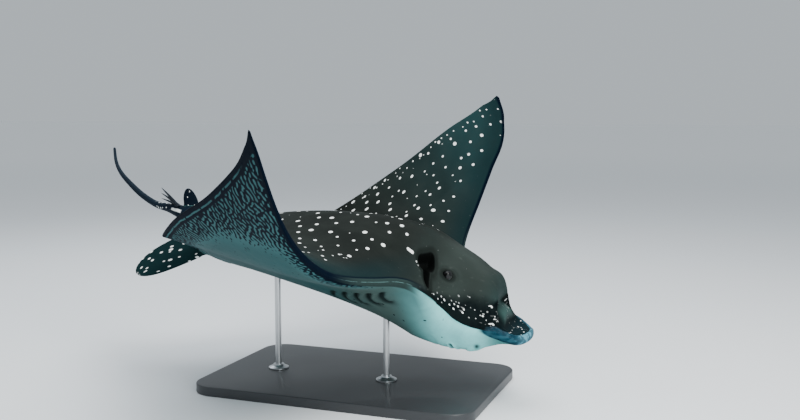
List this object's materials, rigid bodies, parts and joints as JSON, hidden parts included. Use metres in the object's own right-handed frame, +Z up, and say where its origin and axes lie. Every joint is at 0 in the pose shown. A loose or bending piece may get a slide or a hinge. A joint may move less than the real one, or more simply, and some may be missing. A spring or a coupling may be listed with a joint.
{
  "type": "spotted eagle ray display model",
  "caption": "Life-size still model of a spotted eagle ray, banking with both fins raised, held over a flat base by short rods.",
  "frame": {"origin": "on the floor, at the middle of the underside of the stand's base", "axes": "+X is the way the nose points, +Y is the animal's left, +Z is up"},
  "size_m": [1.6814, 1.4076, 0.739],
  "materials": {
    "skin": "painted skin: dark olive grey back with white spots, pale belly, dark lines under the fins",
    "spine": "dark horn",
    "eye": "glossy dark eye",
    "stand_paint": "board with a satin charcoal paint",
    "stand_steel": "brushed steel"
  },
  "bodies": {
    "root": {"rostral_lobe": "skin", "head": "skin", "trunk": "skin", "hips": "skin", "tail_base": "skin", "tail_middle": "skin", "tail_tip": "skin", "pectoral_fin_left": "skin", "pectoral_fin_right": "skin", "pelvic_fin_left": "skin", "pelvic_fin_right": "skin", "dorsal_fin": "skin", "tail_spine_1": "spine", "tail_spine_2": "spine", "tail_spine_3": "spine", "eye_left": "eye", "eye_right": "eye", "stand_base": "stand_paint", "stand_rod_front": "stand_steel", "stand_rod_rear": "stand_steel", "stand_collar_front": "stand_steel", "stand_collar_rear": "stand_steel"}
  },
  "joints": []
}
